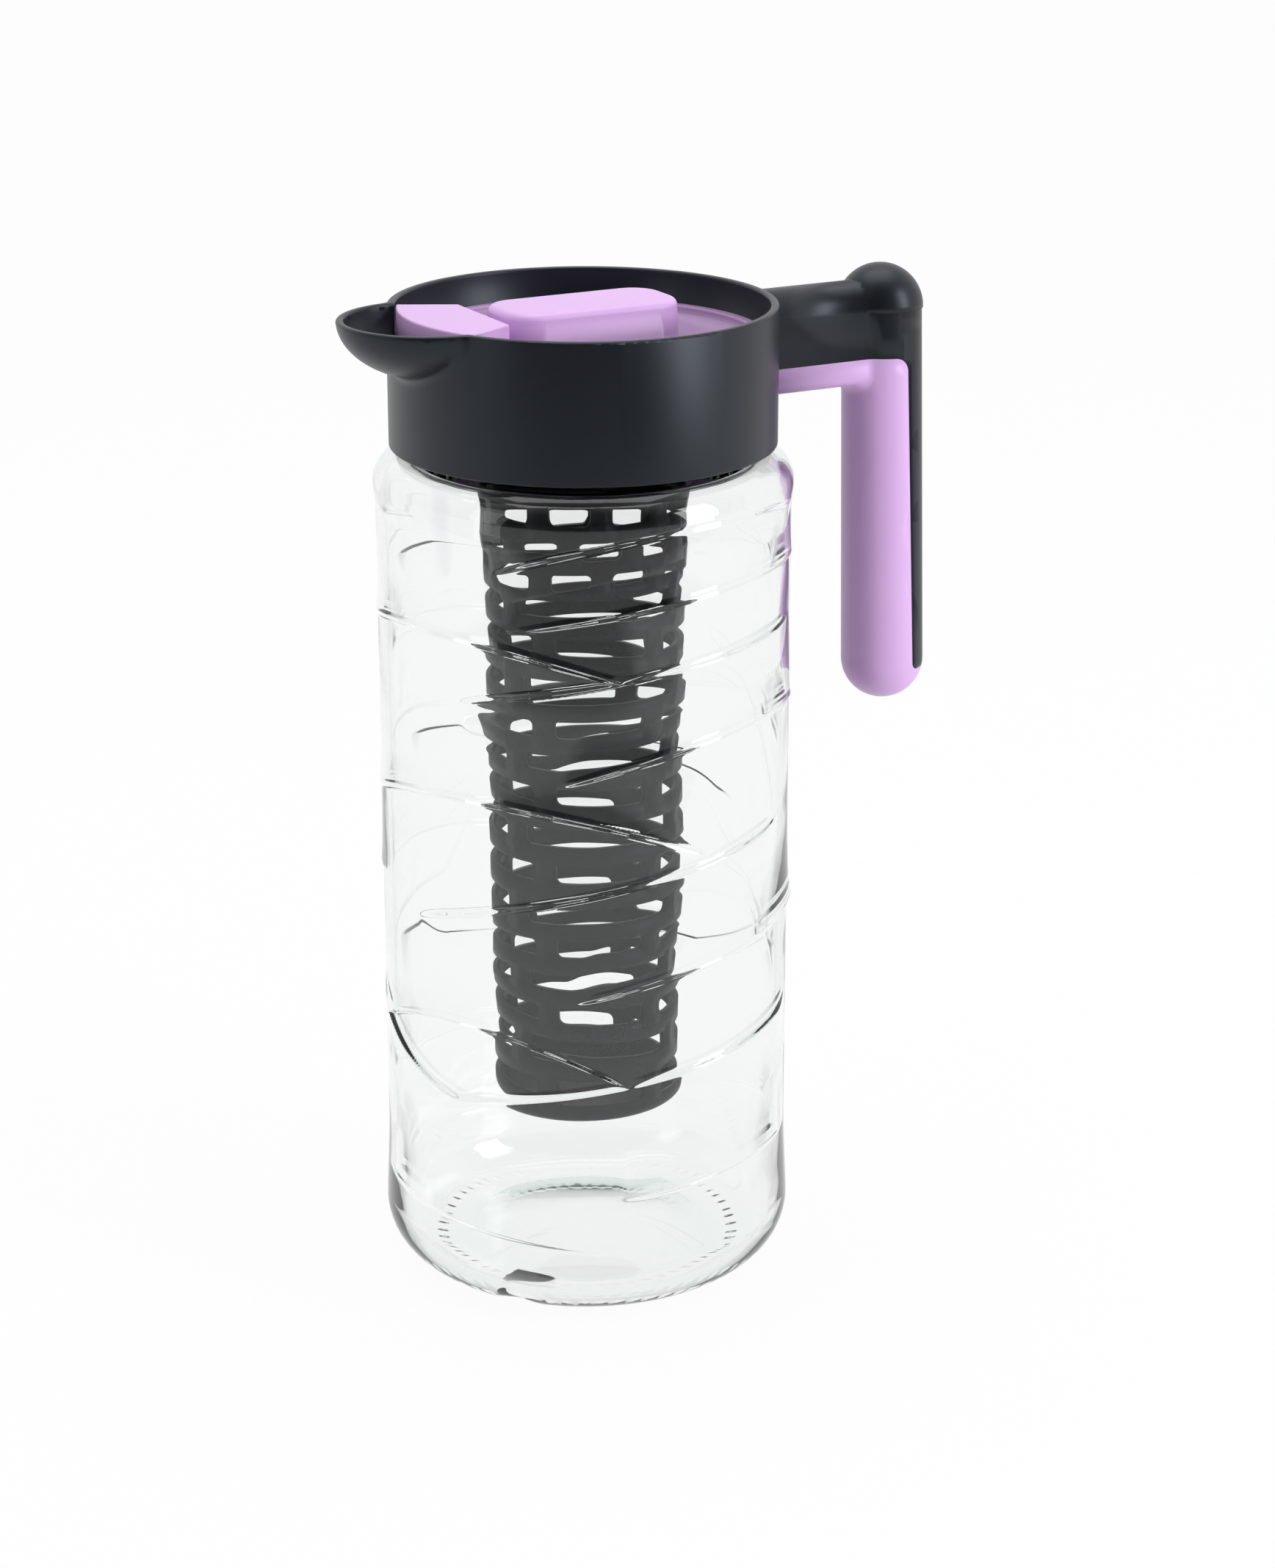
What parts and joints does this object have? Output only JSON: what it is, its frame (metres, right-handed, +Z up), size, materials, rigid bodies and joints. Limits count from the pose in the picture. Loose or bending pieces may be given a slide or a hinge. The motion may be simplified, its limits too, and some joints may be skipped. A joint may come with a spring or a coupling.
{
  "type": "fruit infuser pitcher",
  "caption": "Glass pitcher with a twist-on pouring collar and handle, a turning stopper lid and a slotted fruit infuser basket that lifts out with it.",
  "frame": {"origin": "centre of the jar's foot, on the surface it stands on", "axes": "+Z up along the jar's axis, +X from the axis to the handle, spout towards -X"},
  "size_m": [0.1713, 0.1112, 0.2677],
  "materials": {
    "glass": "clear moulded glass",
    "silicone": "translucent silicone",
    "black_plastic": "satin moulded polypropylene",
    "lilac_plastic": "satin moulded polypropylene",
    "basket_plastic": "satin moulded polypropylene"
  },
  "bodies": {
    "jar": {"glass_jar": "glass"},
    "collar": {"collar": "black_plastic", "handle_grip": "lilac_plastic", "neck_gasket": "silicone"},
    "infuser": {"infuser_basket": "basket_plastic"},
    "lid": {"lid": "lilac_plastic"}
  },
  "joints": [
    {"name": "collar_twist", "type": "hinge", "parent": "jar", "child": "collar", "pos_m": [0, 0, 0.2436], "axis": [0, 0, 1], "range_deg": [0, 45]},
    {"name": "infuser_lift", "type": "slide", "parent": "collar", "child": "infuser", "axis": [0, 0, 1], "range_m": [0, 0.225]},
    {"name": "lid_turn", "type": "hinge", "parent": "infuser", "child": "lid", "pos_m": [0, 0, 0.2475], "axis": [0, 0, 1], "range_deg": [0, 180]}
  ]
}
